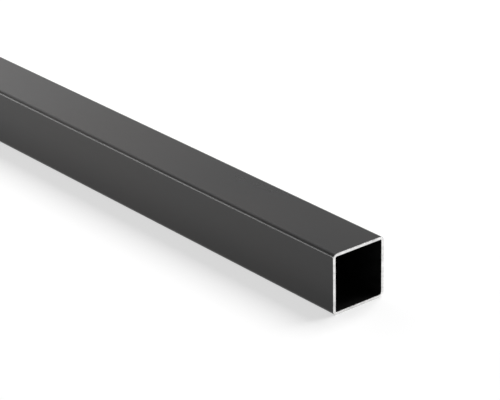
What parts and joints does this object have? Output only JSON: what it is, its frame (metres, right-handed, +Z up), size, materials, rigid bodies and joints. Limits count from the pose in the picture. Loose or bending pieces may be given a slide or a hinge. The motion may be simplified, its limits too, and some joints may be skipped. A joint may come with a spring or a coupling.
{
  "type": "square metal tube",
  "caption": "Straight length of thin-walled square metal tube with rounded corners, an open bore and square-cut, deburred ends.",
  "frame": {"origin": "middle of the tube's underside, on the floor that it lies on", "axes": "+X along the tube's length, towards one cut end; +Y across it; +Z up"},
  "size_m": [1, 0.025, 0.025],
  "materials": {
    "dark_coat": "satin dark grey coat, bare bright metal on the cut ends"
  },
  "bodies": {
    "root": {"square_tube": "dark_coat"}
  },
  "joints": []
}
